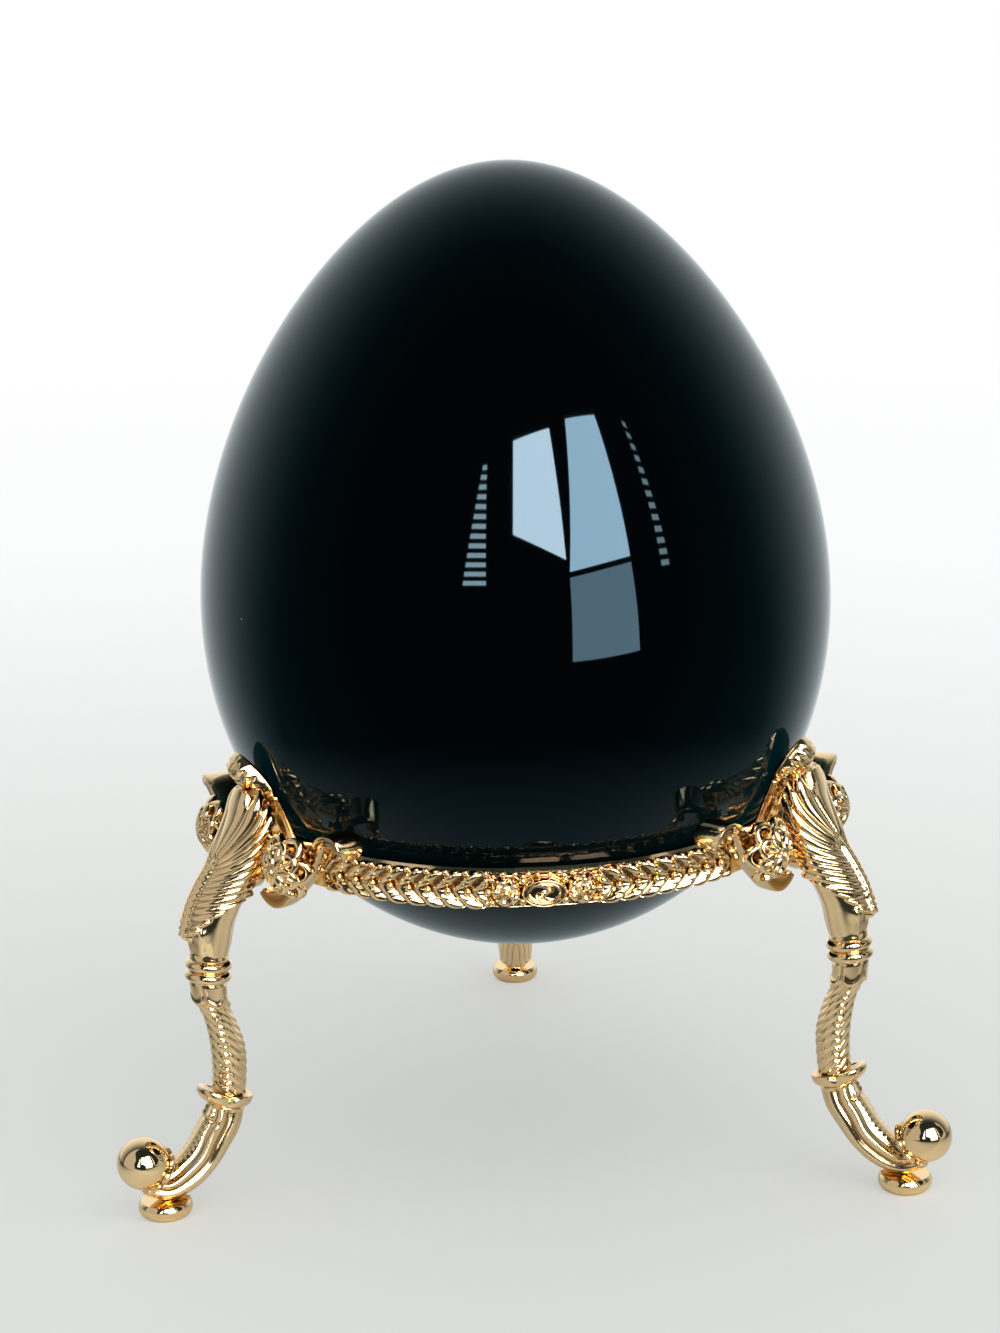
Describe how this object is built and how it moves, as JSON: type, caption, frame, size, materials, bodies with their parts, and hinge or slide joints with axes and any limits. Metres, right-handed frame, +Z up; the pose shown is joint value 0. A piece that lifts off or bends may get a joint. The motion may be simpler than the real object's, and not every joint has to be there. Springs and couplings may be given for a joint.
{
  "type": "decorative egg on stand",
  "caption": "Polished dark stone egg that rests in an ornate gilt metal ring stand on scroll legs with ball and pad feet.",
  "frame": {"origin": "on the floor, straight below the egg's tip, in the middle of the circle of pads", "axes": "+Z up along the egg's axis; one leg points to +Y at the back and two legs stand at the front, towards -Y"},
  "size_m": [0.106, 0.1017, 0.1294],
  "materials": {
    "egg": "polished",
    "gilt": "polished gold plate",
    "polished_gilt": "mirror polished gold plate",
    "screw": "plated"
  },
  "bodies": {
    "stand": {"ring_band": "gilt", "garland_front": "gilt", "garland_right": "gilt", "garland_left": "gilt", "knee_front_left": "gilt", "collar_front_left": "gilt", "shank_front_left": "gilt", "lip_front_left": "gilt", "foot_front_left": "gilt", "pad_front_left": "gilt", "crest_front_left": "gilt", "ball_front_left": "polished_gilt", "scroll_front_left_right": "gilt", "scroll_front_left_left": "gilt", "floret_front_left_right": "gilt", "floret_front_left_left": "gilt", "knee_front_right": "gilt", "collar_front_right": "gilt", "shank_front_right": "gilt", "lip_front_right": "gilt", "foot_front_right": "gilt", "pad_front_right": "gilt", "crest_front_right": "gilt", "ball_front_right": "polished_gilt", "scroll_front_right_right": "gilt", "scroll_front_right_left": "gilt", "floret_front_right_right": "gilt", "floret_front_right_left": "gilt", "knee_back": "gilt", "collar_back": "gilt", "shank_back": "gilt", "lip_back": "gilt", "foot_back": "gilt", "pad_back": "gilt", "crest_back": "gilt", "ball_back": "polished_gilt", "scroll_back_right": "gilt", "scroll_back_left": "gilt", "floret_back_right": "gilt", "floret_back_left": "gilt", "leg_screws": "screw"},
    "egg": {"egg": "egg"}
  },
  "joints": [
    {"name": "egg_lift", "type": "slide", "parent": "stand", "child": "egg", "axis": [0, 0, 1], "range_m": [0, 0.05]}
  ]
}
